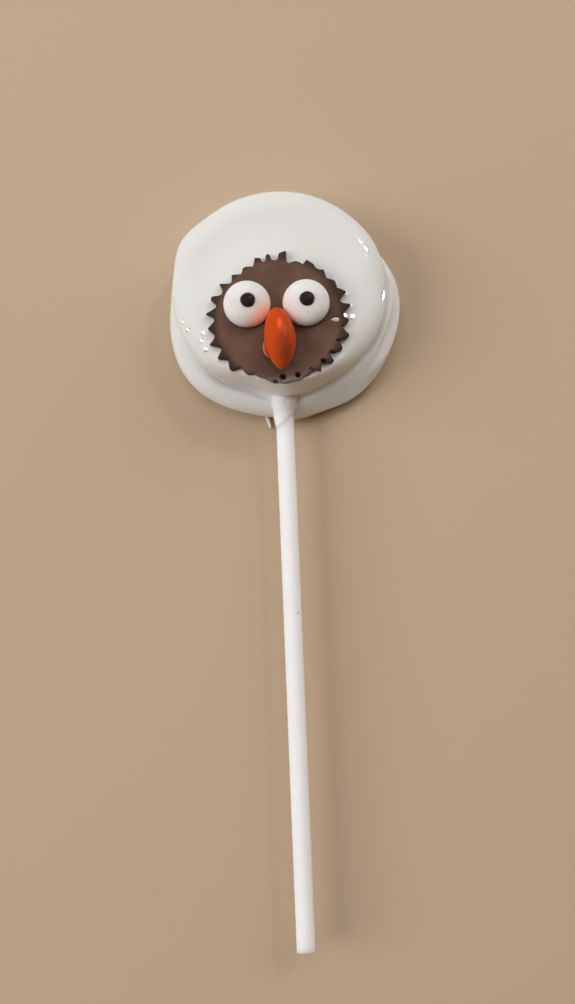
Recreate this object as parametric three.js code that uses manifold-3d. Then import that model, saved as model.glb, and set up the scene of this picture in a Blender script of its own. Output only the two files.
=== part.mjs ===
// A cake pop that lies on its back: a sandwich cookie on a paper stick, dipped in white candy
// coating, with a face made of a fluted chocolate slice, two candy eyes and a candy seed.
// Millimetres, +Z up. The face looks up and the stick runs along -Y. The origin is the middle
// of the flat underside that the cookie lies on.

import * as THREE from "three";
import { mergeVertices } from "three/addons/utils/BufferGeometryUtils.js";
import { ParametricGeometry } from "three/addons/geometries/ParametricGeometry.js";
import Module from "manifold-3d";

const wasm = await Module();
wasm.setup();

const fullTurn = 2 * Math.PI;
const quarterTurn = Math.PI / 2;

// Driving dimensions. Angles are in degrees, counted from +X towards +Y.

const stick = {
  diameter: 3.97, // a 5/32 inch paper stick
  length: 152.4, // six inches
  innerEnd: 11.5, // how far past the cookie's middle it reaches
  height: 6.8, // its axis lies in the filling, between the two wafers
  chamfer: 0.2,
  sides: 32,
};

// The coating follows the two wafers, so it has a lower and an upper tier with a groove between.
const coating = {
  segments: 72,
  lower: {
    radius: 26.2,
    height: 3.3,
    undercut: 1.8,
    swells: [
      { at: 2, reach: 19, amount: 1.2 },
      { at: 32, reach: 14, amount: -0.9 },
      { at: 176, reach: 21, amount: -1.1 },
      { at: 214, reach: 23, amount: 0.8 },
      { at: 255, reach: 16, amount: -0.8 },
      { at: 322, reach: 22, amount: 0.8 },
    ],
  },
  groove: {
    radius: 23.4,
    height: 7.3,
    swells: [
      { at: 5, reach: 30, amount: 0.5 },
      { at: 290, reach: 50, amount: -1.9 },
    ],
  },
  upper: {
    radius: 24.15,
    height: 10.4,
    swells: [
      { at: 147, reach: 14, amount: 1.2 },
      { at: 200, reach: 30, amount: -1.0 },
      { at: 292, reach: 60, amount: -2.2 },
    ],
  },
  top: {
    height: 13.5,
    shoulder: 3.1, // how far the rounded edge reaches in
    tightShoulder: { at: 272, reach: 42, amount: -2.0 }, // beside the slice, near the stick
  },
  // A second fold of coating, low on the side away from the light.
  fold: { at: 337, reach: 17, amount: -0.75 },
};

const slice = {
  centre: new THREE.Vector2(-0.55, -6.65),
  teeth: 29,
  firstTooth: 10,
  stepsPerTooth: 6,
  rounding: 1e-6, // keeps the last step of a tooth out of the next one
  valleyRadius: 13.3,
  tipRadius: 15.1,
  widerAcross: 0.7, // the rim is pressed a little oval, wider from left to right
  shorterLow: 0.6, // teeth near the stick are sunk in the coating
  bridge: { at: 287, reach: 30, amount: 0.6 }, // there the flutes have run together
  toothSharpness: 1.35,
  shortestTooth: 0.88, // as a share of the longest
  thickness: 3.0,
  sunk: 0.5, // below the coating's top
  taper: 0.955, // the cup narrows downwards
  rimDrop: 0.5, // the rim rolls off from the face by this much
  rimInset: 0.35, // and from this far inside
  faceFollows: 0.45, // the share of each tooth that the flat face runs out over
  missingTooth: 5,
  bluntTeeth: [3, 4, 6, 7, 8],
  bluntness: 1.8,
  tallTooth: { index: 6, extra: 0.9 },
  pits: [
    { at: 273, radius: 0.6, depth: 1.6 },
    { at: 288, radius: 0.65, depth: 1.6 },
    { at: 302, radius: 0.45, depth: 0.5 },
    { at: 316, radius: 0.6, depth: 1.4 },
    { at: 359, radius: 0.6, depth: 1.2 },
  ],
  pitCircle: 12.5, // the radius that the pits lie on
  pitFloor: 0.7, // as a share of a pit's radius
  pitSides: 10,
};

// The slice pushed the soft coating up into a low ring round itself.
const rimRing = { gap: 0.3, crestOut: 1.4, crestRise: 0.4, mostInwards: 0.6, steepness: 2.5 };

const eye = {
  diameter: 10.0,
  footDiameter: 9.2,
  bellyHeight: 1.0,
  height: 3.9,
  flatDiameter: 3.4, // the pupil sits on it
  bellyTuck: 0.12, // how much narrower it is halfway down its belly
  centres: { left: new THREE.Vector2(-7.08, -3.3), right: new THREE.Vector2(5.48, -3.5) },
  segments: 32,
};

const pupil = {
  diameter: 3.05,
  height: 0.75,
  sideHeight: 0.22,
  offsets: { left: new THREE.Vector2(0.3, 0.0), right: new THREE.Vector2(0.08, -0.2) },
  segments: 18,
};

const beak = {
  top: new THREE.Vector2(-0.9, -4.7),
  tip: new THREE.Vector2(-0.05, -18.0),
  width: 6.6,
  thickness: 4.9,
  sunk: 0.15, // into the icing that holds it
  bluntEnd: 2.0, // the exponents of its outline at the rounded and at the pointed end
  pointedEnd: { bend: 1.8, taper: 0.68 },
  flange: { width: 0.6, at: 0.65, reach: 0.15, edge: 8 }, // a ridge of candy along its left edge
  sides: 22,
  steps: 14,
};

const collar = {
  mouth: -21.2, // where it leaves the groove
  end: -29.3,
  flareRadius: 3.5,
  radius: 2.6,
  endRadius: 2.25,
  inside: -16.2, // where it ends within the cookie
  boreGap: 0.1,
};

const tail = {
  root: new THREE.Vector3(-4.3, -23.4, 0.6),
  tip: new THREE.Vector3(-3.05, -27.3, 0.45),
  radius: 0.55,
  flatness: 0.8,
  rootTaper: 6,
  steps: 6,
  sides: 10,
};

const pocketFloor = coating.top.height - slice.sunk;
const faceHeight = pocketFloor + slice.thickness;

// Materials

const finish = (color, roughness) => new THREE.MeshStandardMaterial({ color, roughness, metalness: 0 });
const whiteCandy = finish(0xe2dfd8, 0.3);
const chocolate = finish(0x5f473b, 0.55);
const eyeCandy = finish(0xf2eeea, 0.45);
const blackIcing = finish(0x15110f, 0.3);
const orangeCandy = finish(0xd2481a, 0.25);
const paper = finish(0xece8e3, 0.85);

// Small helpers

const radians = THREE.MathUtils.degToRad;
const lerp = THREE.MathUtils.lerp;

/** How much a soft swelling centred at one angle adds at another. */
function swell(angle, { at, reach, amount }) {
  const away = Math.atan2(Math.sin(angle - radians(at)), Math.cos(angle - radians(at)));
  return amount * Math.exp(-((away / radians(reach)) ** 2));
}

/** The radius of an uneven round outline at an angle. */
function outline(angle, { radius, swells }) {
  return swells.reduce((sum, each) => sum + swell(angle, each), radius);
}

/** The point at an angle and a distance from an upright axis. */
function round(angle, radius, height, centre = new THREE.Vector2()) {
  return new THREE.Vector3(centre.x + radius * Math.cos(angle), centre.y + radius * Math.sin(angle), height);
}

/** The same geometry with its shared vertices merged and its collapsed triangles left out. */
function welded(geometry) {
  geometry.deleteAttribute("normal");
  geometry.deleteAttribute("uv");
  const merged = mergeVertices(geometry, 1e-4);
  const corners = merged.index.array;
  const kept = [];
  for (let first = 0; first < corners.length; first += 3) {
    const [a, b, c] = corners.slice(first, first + 3);
    if (a !== b && b !== c && c !== a) {
      kept.push(a, b, c);
    }
  }
  merged.setIndex(kept);
  return merged;
}

/**
 * A closed skin from stages that follow one another from pole to pole. Each stage gives the point
 * for an angle round the skin and for its own progress from 0 to 1.
 */
function closedSkin(stages, segments) {
  const total = stages.reduce((sum, stage) => sum + stage.steps, 0);
  const place = (around, along, target) => {
    let step = along * total;
    let index = 0;
    while (index < stages.length - 1 && step > stages[index].steps) {
      step -= stages[index].steps;
      index += 1;
    }
    target.copy(stages[index].point(around * fullTurn, step / stages[index].steps));
  };
  return welded(new ParametricGeometry(place, segments, total));
}

/** A solid turned about an upright axis from a section of [radius, height] points. */
function turned(section, segments) {
  const points = section.map(([radius, height]) => new THREE.Vector2(radius, height));
  return welded(new THREE.LatheGeometry(points, segments).rotateX(quarterTurn));
}

/** The points of a quarter arc, as [radius, height], from its widest point up to its top. */
function quarterArc(innerRadius, outerRadius, lowHeight, topHeight, steps) {
  const points = [];
  for (let step = 0; step <= steps; step += 1) {
    const angle = (quarterTurn * step) / steps;
    const radius = lerp(innerRadius, outerRadius, Math.cos(angle));
    points.push([radius, lerp(lowHeight, topHeight, Math.sin(angle))]);
  }
  return points;
}

function toSolid(geometry) {
  const solidMesh = new wasm.Mesh({
    numProp: 3,
    vertProperties: Float32Array.from(geometry.attributes.position.array),
    triVerts: Uint32Array.from(geometry.index.array),
  });
  return new wasm.Manifold(solidMesh);
}

function toGeometry(solid) {
  const solidMesh = solid.getMesh();
  const geometry = new THREE.BufferGeometry();
  geometry.setAttribute("position", new THREE.BufferAttribute(solidMesh.vertProperties, 3));
  geometry.setIndex(new THREE.BufferAttribute(solidMesh.triVerts, 1));
  return geometry;
}

// The chocolate slice

/** The smooth outline that the slice's tooth tips touch. */
function tipOutline(angle) {
  const low = Math.max(0, -Math.sin(angle)) ** 2;
  return slice.tipRadius + slice.widerAcross * Math.cos(2 * angle) - slice.shorterLow * low;
}

/** A fixed unevenness from 0 to 1 for each tooth. */
function uneven(index) {
  const wave = Math.sin(index * 12.9898 + 4.1) * 43758.5453;
  return wave - Math.floor(wave);
}

/** The slice's toothed rim at an angle. */
function toothedRim(angle) {
  const turns = ((angle - radians(slice.firstTooth)) * slice.teeth) / fullTurn + 0.5;
  const whole = Math.floor(turns + slice.rounding);
  const index = THREE.MathUtils.euclideanModulo(whole, slice.teeth);
  const valley = slice.valleyRadius + swell(angle, slice.bridge);
  let depth = (tipOutline(angle) - valley) * lerp(slice.shortestTooth, 1, uneven(index));
  if (index === slice.missingTooth) {
    depth = 0;
  }
  if (index === slice.tallTooth.index) {
    depth += slice.tallTooth.extra;
  }
  let rise = (1 - Math.abs(2 * (turns - whole) - 1)) ** slice.toothSharpness;
  if (slice.bluntTeeth.includes(index)) {
    rise = Math.min(1, slice.bluntness * rise);
  }
  return valley + depth * rise;
}

function makeSlice() {
  const bottom = pocketFloor;
  const top = faceHeight;
  const rimTop = top - slice.rimDrop;
  const ring = (angle, scale, height) => round(angle, toothedRim(angle) * scale, height, slice.centre);
  const faceEdge = (angle) => {
    const radius = lerp(slice.valleyRadius, toothedRim(angle), slice.faceFollows) - slice.rimInset;
    return round(angle, radius, top, slice.centre);
  };
  const middle = (height) => new THREE.Vector3(slice.centre.x, slice.centre.y, height);
  const stages = [
    { steps: 1, point: (angle, t) => middle(bottom).lerp(ring(angle, slice.taper, bottom), t) },
    { steps: 1, point: (angle, t) => ring(angle, lerp(slice.taper, 1, t), lerp(bottom, rimTop, t)) },
    { steps: 1, point: (angle, t) => ring(angle, 1, rimTop).lerp(faceEdge(angle), t) },
    { steps: 1, point: (angle, t) => faceEdge(angle).lerp(middle(top), t) },
  ];
  let solid = toSolid(closedSkin(stages, slice.teeth * slice.stepsPerTooth));
  for (const { at, radius, depth } of slice.pits) {
    const section = [
      [0, -depth],
      [slice.pitFloor * radius, -depth],
      [radius, slice.rimDrop],
      [0, slice.rimDrop],
    ];
    const pit = toSolid(turned(section, slice.pitSides));
    const place = round(radians(at), slice.pitCircle, top, slice.centre);
    solid = solid.subtract(pit.translate(place.toArray()));
  }
  return toGeometry(solid);
}

// The coated cookie

function makeCoating() {
  const { lower, groove, upper, top, fold } = coating;
  const foot = (angle) => outline(angle, lower) - lower.undercut;
  const shoulder = (angle) => top.shoulder + swell(angle, top.tightShoulder);
  const pocket = (angle, height) => round(angle, tipOutline(angle) + rimRing.gap, height, slice.centre);
  const shoulderTop = (angle) => round(angle, outline(angle, upper) - shoulder(angle), top.height);

  const underside = (angle, t) => round(angle, foot(angle) * t, 0);

  const belly = (angle, t) => {
    const turn = quarterTurn * (1 - t);
    const radius = outline(angle, lower) - lower.undercut * (1 - Math.cos(turn));
    return round(angle, radius, lower.height * (1 - Math.sin(turn)));
  };

  const lowerTop = (angle, t) => {
    const turn = quarterTurn * t;
    const crease = swell(angle, fold) * Math.sin(2 * turn) ** 2;
    const radius = lerp(outline(angle, groove), outline(angle, lower), Math.cos(turn)) + crease;
    return round(angle, radius, lerp(lower.height, groove.height, Math.sin(turn)));
  };

  const upperUnderside = (angle, t) => {
    const turn = quarterTurn * t;
    const radius = lerp(outline(angle, groove), outline(angle, upper), Math.sin(turn));
    return round(angle, radius, lerp(groove.height, upper.height, 1 - Math.cos(turn)));
  };

  const roundedEdge = (angle, t) => {
    const turn = quarterTurn * t;
    const radius = outline(angle, upper) - shoulder(angle) * (1 - Math.cos(turn));
    return round(angle, radius, lerp(upper.height, top.height, Math.sin(turn)));
  };

  // From the edge towards the slice, over the ring that the slice pushed up.
  const face = (angle, t) => {
    const edge = shoulderTop(angle);
    const rim = pocket(angle, top.height);
    const crest = Math.min(rimRing.mostInwards, rimRing.crestOut / edge.distanceTo(rim));
    const fromCrest = (1 - t) / crest - 1;
    const point = edge.lerp(rim, t);
    point.z += rimRing.crestRise * Math.exp(-rimRing.steepness * fromCrest ** 2);
    return point;
  };

  const pocketWall = (angle, t) => face(angle, 1).lerp(pocket(angle, pocketFloor), t);

  const pocketBase = (angle, t) => pocket(angle, pocketFloor).lerp(round(0, 0, pocketFloor, slice.centre), t);

  const stages = [
    { steps: 1, point: underside },
    { steps: 3, point: belly },
    { steps: 4, point: lowerTop },
    { steps: 3, point: upperUnderside },
    { steps: 5, point: roundedEdge },
    { steps: 5, point: face },
    { steps: 1, point: pocketWall },
    { steps: 1, point: pocketBase },
  ];
  const cookie = toSolid(closedSkin(stages, coating.segments));
  const whole = cookie.add(makeCollar()).add(makeTail());
  return toGeometry(whole.subtract(makeBore()));
}

/** The sleeve of coating that runs a little way down the stick, along -Y. */
function makeCollar() {
  const profile = [
    new THREE.Vector2(0, collar.end),
    new THREE.Vector2(collar.endRadius, collar.end),
    new THREE.Vector2(lerp(collar.endRadius, collar.radius, 0.4), lerp(collar.end, collar.mouth, 0.5)),
    new THREE.Vector2(collar.radius, lerp(collar.end, collar.mouth, 0.8)),
    new THREE.Vector2(collar.flareRadius, collar.mouth),
    new THREE.Vector2(collar.flareRadius, collar.inside),
    new THREE.Vector2(0, collar.inside),
  ];
  const sleeve = new THREE.LatheGeometry(profile, stick.sides);
  return toSolid(welded(sleeve)).translate([0, 0, stick.height]);
}

/** The room that the stick takes in the cookie and the collar. */
function makeBore() {
  const radius = stick.diameter / 2 + collar.boreGap;
  const outside = collar.end - stick.diameter;
  const profile = [
    new THREE.Vector2(0, outside),
    new THREE.Vector2(radius, outside),
    new THREE.Vector2(radius, stick.innerEnd),
    new THREE.Vector2(0, stick.innerEnd),
  ];
  const room = new THREE.LatheGeometry(profile, stick.sides);
  return toSolid(welded(room)).translate([0, 0, stick.height]);
}

/** A drip that set as a thin tail at the foot, beside the stick. */
function makeTail() {
  const along = tail.tip.clone().sub(tail.root);
  const side = new THREE.Vector3(-along.y, along.x, 0).normalize();
  const skin = (angle, t) => {
    const radius = tail.radius * Math.sqrt(Math.max(0, 1 - t ** 2)) * Math.min(1, tail.rootTaper * t);
    const point = tail.root.clone().addScaledVector(along, t);
    point.addScaledVector(side, radius * Math.cos(angle));
    point.z += tail.flatness * radius * Math.sin(angle);
    return point;
  };
  return toSolid(closedSkin([{ steps: tail.steps, point: skin }], tail.sides));
}

// The eyes

function makeEye() {
  const section = [
    [0, 0],
    [eye.footDiameter / 2, 0],
    [eye.diameter / 2 - eye.bellyTuck, eye.bellyHeight / 2],
    ...quarterArc(eye.flatDiameter / 2, eye.diameter / 2, eye.bellyHeight, eye.height, 7),
    [0, eye.height],
  ];
  return turned(section, eye.segments);
}

function makePupil() {
  const section = [
    [0, 0],
    [pupil.diameter / 2, 0],
    ...quarterArc(0, pupil.diameter / 2, pupil.sideHeight, pupil.height, 4),
  ];
  return turned(section, pupil.segments);
}

// The beak, a candy-coated seed

/** The seed's half width at a place along it, as a share of the widest: blunt on top, pointed below. */
function seedShare(t) {
  const away = Math.abs(2 * t - 1);
  if (t < 0.5) {
    return Math.sqrt(1 - away ** beak.bluntEnd);
  }
  return (1 - away ** beak.pointedEnd.bend) ** beak.pointedEnd.taper;
}

/** How far the ridge on the left edge stands out, for a place along the seed and one round it. */
function flangeOut(t, sideways) {
  const { width, at, reach, edge } = beak.flange;
  return width * Math.max(0, -sideways) ** edge * Math.exp(-(((t - at) / reach) ** 2));
}

function makeBeak() {
  const along = beak.tip.clone().sub(beak.top);
  const across = new THREE.Vector2(-along.y, along.x).normalize();
  const half = beak.thickness / 2;
  const point = (angle, t) => {
    const eased = 0.5 - 0.5 * Math.cos(Math.PI * t);
    const share = seedShare(eased);
    const sideways = Math.cos(angle);
    const width = (beak.width / 2) * share * sideways - flangeOut(eased, sideways);
    const height = faceHeight - beak.sunk + half + half * share * Math.sin(angle);
    return new THREE.Vector3(
      beak.top.x + along.x * eased + across.x * width,
      beak.top.y + along.y * eased + across.y * width,
      Math.max(faceHeight, height),
    );
  };
  return closedSkin([{ steps: beak.steps, point }], beak.sides);
}

// The stick

function makeStick() {
  const radius = stick.diameter / 2;
  const outerEnd = stick.innerEnd - stick.length;
  const profile = [
    new THREE.Vector2(0, outerEnd),
    new THREE.Vector2(radius - stick.chamfer, outerEnd),
    new THREE.Vector2(radius, outerEnd + stick.chamfer),
    new THREE.Vector2(radius, stick.innerEnd),
    new THREE.Vector2(0, stick.innerEnd),
  ];
  return welded(new THREE.LatheGeometry(profile, stick.sides));
}

// The whole pop

const pop = new THREE.Group();

function addPiece(name, geometry, material, place = new THREE.Vector3()) {
  const mesh = new THREE.Mesh(geometry, material);
  mesh.name = name;
  mesh.position.copy(place);
  pop.add(mesh);
}

addPiece("stick", makeStick(), paper, new THREE.Vector3(0, 0, stick.height));
addPiece("coated_cookie", makeCoating(), whiteCandy);
addPiece("chocolate_slice", makeSlice(), chocolate);
for (const [side, centre] of Object.entries(eye.centres)) {
  addPiece(`eye_${side}`, makeEye(), eyeCandy, new THREE.Vector3(centre.x, centre.y, faceHeight));
  const spot = centre.clone().add(pupil.offsets[side]);
  const onTop = new THREE.Vector3(spot.x, spot.y, faceHeight + eye.height);
  addPiece(`pupil_${side}`, makePupil(), blackIcing, onTop);
}
addPiece("beak", makeBeak(), orangeCandy);

export default pop;
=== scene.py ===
"""A flat cake pop that lies face up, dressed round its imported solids.

A sandwich cookie in white candy coating on a rolled paper stick, with a bird's face: a fluted
chocolate slice, two domed candy eyes with drops of black icing, and an orange candy-coated seed
for a beak. Sizes are in millimetres and angles in degrees from +X towards +Y, as the part's own
source has them. A finished mesh is scaled to metres.
"""

from __future__ import annotations

import logging
import math
from bisect import bisect_left
from collections.abc import Callable, Sequence
from dataclasses import dataclass
from enum import Enum

import bmesh
import bpy
from mathutils import Matrix, Vector, noise
from mathutils.bvhtree import BVHTree
from mathutils.kdtree import KDTree


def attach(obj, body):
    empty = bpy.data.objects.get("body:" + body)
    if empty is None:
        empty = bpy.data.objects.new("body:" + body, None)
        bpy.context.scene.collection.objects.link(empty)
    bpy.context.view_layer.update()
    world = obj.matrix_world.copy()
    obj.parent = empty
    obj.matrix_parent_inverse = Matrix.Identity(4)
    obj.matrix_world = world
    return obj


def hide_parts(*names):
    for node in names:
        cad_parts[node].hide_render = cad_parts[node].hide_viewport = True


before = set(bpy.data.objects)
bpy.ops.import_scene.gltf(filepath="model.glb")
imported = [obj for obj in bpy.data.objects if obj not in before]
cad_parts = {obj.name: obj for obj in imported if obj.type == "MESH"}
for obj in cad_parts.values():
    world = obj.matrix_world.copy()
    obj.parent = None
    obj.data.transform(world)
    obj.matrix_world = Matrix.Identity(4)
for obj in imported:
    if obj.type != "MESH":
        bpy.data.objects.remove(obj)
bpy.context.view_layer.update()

log = logging.getLogger("cake_pop")

METRES = 0.001  # one millimetre
QUARTER_TURN = math.pi / 2
SAME_PLACE = 1e-4  # points closer than this are one point
BODY = "root"
FACE_HEIGHT = 16.0  # the slice's top, which carries the eyes and the beak
STICK_HEIGHT = 6.8  # the stick's axis
SLICE_CENTRE = (-0.55, -6.65)

Shape = bmesh.types.BMesh
Socket = bpy.types.NodeSocket
Colour = tuple[float, float, float]
Spot = tuple[float, float, float]
Span = tuple[float, float]
WHOLE: Span = (0.0, 1.0)


class Slot(Enum):
    """The record's material slots."""

    PAPER = "paper_stick"
    COATING = "white_coating"
    CHOCOLATE = "chocolate"
    EYE = "eye_candy"
    ICING = "black_icing"
    BEAK = "orange_candy"


class Side(Enum):
    """The two sides of the face, as it is looked at."""

    LEFT = "left"
    RIGHT = "right"


# Small helpers


def mix(low: float, high: float, share: float) -> float:
    """Returns the value at a share of the way from low to high."""
    return low + (high - low) * share


def smooth_step(low: float, high: float, value: float) -> float:
    """Returns a soft step from 0 at low, which may be the larger, to 1 at high."""
    share = min(1.0, max(0.0, (value - low) / (high - low)))
    return share * share * (3 - 2 * share)


def quarter(progress: float) -> Span:
    """Returns the cosine and the sine of a share of a quarter turn."""
    return math.cos(QUARTER_TURN * progress), math.sin(QUARTER_TURN * progress)


def bearing(way: Vector) -> float:
    """Returns the direction of a way as seen from above, in radians."""
    return math.atan2(way.y, way.x)


@dataclass(frozen=True)
class Ripple:
    """Smooth unevenness.

    Attributes:
        height: About how far it goes up and down, in millimetres or as a share.
        size: The size of its features.
        seed: Which of many like patterns it is.
    """

    height: float
    size: float
    seed: float = 0.0

    def at(self, point: Vector) -> float:
        """Returns its height at a point."""
        return self.height * noise.noise(point / self.size + Vector((self.seed, self.seed, self.seed)))


@dataclass(frozen=True)
class Swell:
    """A soft swelling or dip round an outline.

    Attributes:
        at: The angle of its middle.
        reach: How far it reaches to each side, in degrees.
        amount: Its height in the middle.
    """

    at: float
    reach: float
    amount: float

    def value(self, angle: float) -> float:
        """Returns what it adds at an angle in radians."""
        away = math.remainder(angle - math.radians(self.at), math.tau)
        return self.amount * math.exp(-((away / math.radians(self.reach)) ** 2))


@dataclass(frozen=True)
class Outline:
    """An uneven round outline: a radius and the swells on it."""

    radius: float
    swells: tuple[Swell, ...] = ()

    def at(self, angle: float) -> float:
        """Returns its radius at an angle in radians."""
        return self.radius + sum(swell.value(angle) for swell in self.swells)


@dataclass(frozen=True)
class Dent:
    """A soft dent, or a hill where its depth is negative, in a face seen from above."""

    x: float
    y: float
    reach: float
    depth: float

    def value(self, point: Vector) -> float:
        """Returns how far it lowers the face at a point."""
        away = math.hypot(point.x - self.x, point.y - self.y) / self.reach
        return self.depth * math.exp(-(away**2))


@dataclass(frozen=True)
class Fleck:
    """A small flat spot of the coating that shines.

    Attributes:
        x: Its middle.
        y: Its middle.
        length: Half its length.
        width: Half its width.
        turned: The direction of its length.
        border: Where its share starts and is whole, in half widths.
        ragged: How uneven its border is.
    """

    x: float
    y: float
    length: float
    width: float
    turned: float = 0.0
    border: Span = (1.05, 0.6)
    ragged: Ripple = Ripple(0.3, 0.6)

    def share(self, point: Vector) -> float:
        """Finds how much of the spot a point belongs to.

        Args:
            point: The point, which counts as seen from above.

        Returns:
            A share from 0 to 1.
        """
        turn = math.radians(self.turned)
        across, up = point.x - self.x, point.y - self.y
        along = across * math.cos(turn) + up * math.sin(turn)
        aside = up * math.cos(turn) - across * math.sin(turn)
        ragged = 1 + self.ragged.at(Vector((point.x, point.y, 0)))
        return smooth_step(*self.border, math.hypot(along / self.length, aside / self.width) * ragged)


@dataclass(frozen=True)
class Stage:
    """One stretch of a skin.

    Attributes:
        rings: How many rings it adds.
        place: Gives a point for an angle round the skin, in radians, and a progress from 0 to 1.
    """

    rings: int
    place: Callable[[float, float], Vector]


def wrapped_skin(stages: Sequence[Stage], segments: int) -> Shape:
    """Spins a plain drum with a ring for each step of the stages, and moves its points into place.

    Args:
        stages: The stretches of the skin, from one pole to the other.
        segments: How many points a ring has.

    Returns:
        A closed skin in millimetres.
    """
    spots = [(stage, step / stage.rings) for stage in stages for step in range(stage.rings)]
    spots.append((stages[-1], 1.0))
    drum = bmesh.new()
    low = drum.verts.new((1, 0, 0))
    high = drum.verts.new((1, 0, len(spots) - 1))
    line = drum.edges.new((low, high))
    bmesh.ops.subdivide_edges(drum, edges=[line], cuts=len(spots) - 2)
    bmesh.ops.spin(
        drum,
        geom=drum.verts[:] + drum.edges[:],
        cent=(0, 0, 0),
        axis=(0, 0, 1),
        angle=math.tau,
        steps=segments,
        use_merge=True,
    )
    for point in drum.verts:
        stage, progress = spots[round(point.co.z)]
        point.co = stage.place(bearing(point.co), progress)
    bmesh.ops.remove_doubles(drum, verts=drum.verts[:], dist=SAME_PLACE)
    bmesh.ops.recalc_face_normals(drum, faces=drum.faces[:])
    drum.normal_update()
    return drum


def smooth(shape: Shape, points: Sequence[bmesh.types.BMVert], rounds: int) -> None:
    """Evens some points of a shape out.

    Args:
        shape: The shape.
        points: Those of its points that may move.
        rounds: How often each moves halfway to its neighbours.
    """
    every_way = {"use_axis_x": True, "use_axis_y": True, "use_axis_z": True}
    for _ in range(rounds):
        bmesh.ops.smooth_vert(shape, verts=points, factor=0.5, **every_way)
    shape.normal_update()


def mesh_of(name: str, shape: Shape) -> bpy.types.Mesh:
    """Makes a mesh from a shape.

    Args:
        name: The mesh's name.
        shape: The shape, which is used up.

    Returns:
        The mesh.
    """
    mesh = bpy.data.meshes.new(name)
    shape.to_mesh(mesh)
    shape.free()
    return mesh


def in_scene(name: str, data: bpy.types.ID) -> bpy.types.Object:
    """Puts a new object into the scene.

    Args:
        name: The object's name.
        data: Its mesh, lamp or camera.

    Returns:
        The object.
    """
    thing = bpy.data.objects.new(name, data)
    bpy.context.scene.collection.objects.link(thing)
    return thing


def joined(shapes: Sequence[Shape]) -> Shape:
    """Joins closed shapes into one skin.

    Args:
        shapes: The shapes, which are used up. The others are joined to the first.

    Returns:
        The joined shape.
    """
    holders = [in_scene("shape", mesh_of("shape", shape)) for shape in shapes]
    for other in holders[1:]:
        union = holders[0].modifiers.new("union", "BOOLEAN")
        union.operation = "UNION"
        union.solver = "EXACT"
        union.object = other
    result = bmesh.new()
    result.from_object(holders[0], bpy.context.evaluated_depsgraph_get())
    for mesh in [holder.data for holder in holders]:
        bpy.data.meshes.remove(mesh)
    bmesh.ops.triangulate(result, faces=[face for face in result.faces if len(face.verts) > 4])
    bmesh.ops.dissolve_degenerate(result, dist=SAME_PLACE, edges=result.edges[:])
    return result


def round_point(angle: float, radius: float, height: float, centre: Vector | None = None) -> Vector:
    """Finds the point at an angle and a distance from an upright axis.

    Args:
        angle: The angle in radians.
        radius: The distance from the axis.
        height: The height of the point.
        centre: Where the axis stands, or None for the middle.

    Returns:
        The point.
    """
    point = Vector((radius * math.cos(angle), radius * math.sin(angle), height))
    return point if centre is None else point + Vector((centre.x, centre.y, 0))


def stick_point(angle: float, radius: float, y: float) -> Vector:
    """Returns the point at an angle in radians and a distance from the stick's axis."""
    return Vector((radius * math.cos(angle), y, STICK_HEIGHT + radius * math.sin(angle)))


# Finishes


@dataclass(frozen=True)
class Grain:
    """Noise in a finish.

    Attributes:
        size: The size of its features.
        detail: How many finer layers it has.
        limits: The noise that counts as nothing and as whole.
        stretch: How much each direction counts. Less than 1 draws the noise out.
        height: How high it stands in a relief.
    """

    size: float
    detail: float = 2.0
    limits: Span = (0.3, 0.7)
    stretch: Spot = (1.0, 1.0, 1.0)
    height: float = 0.0


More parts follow.
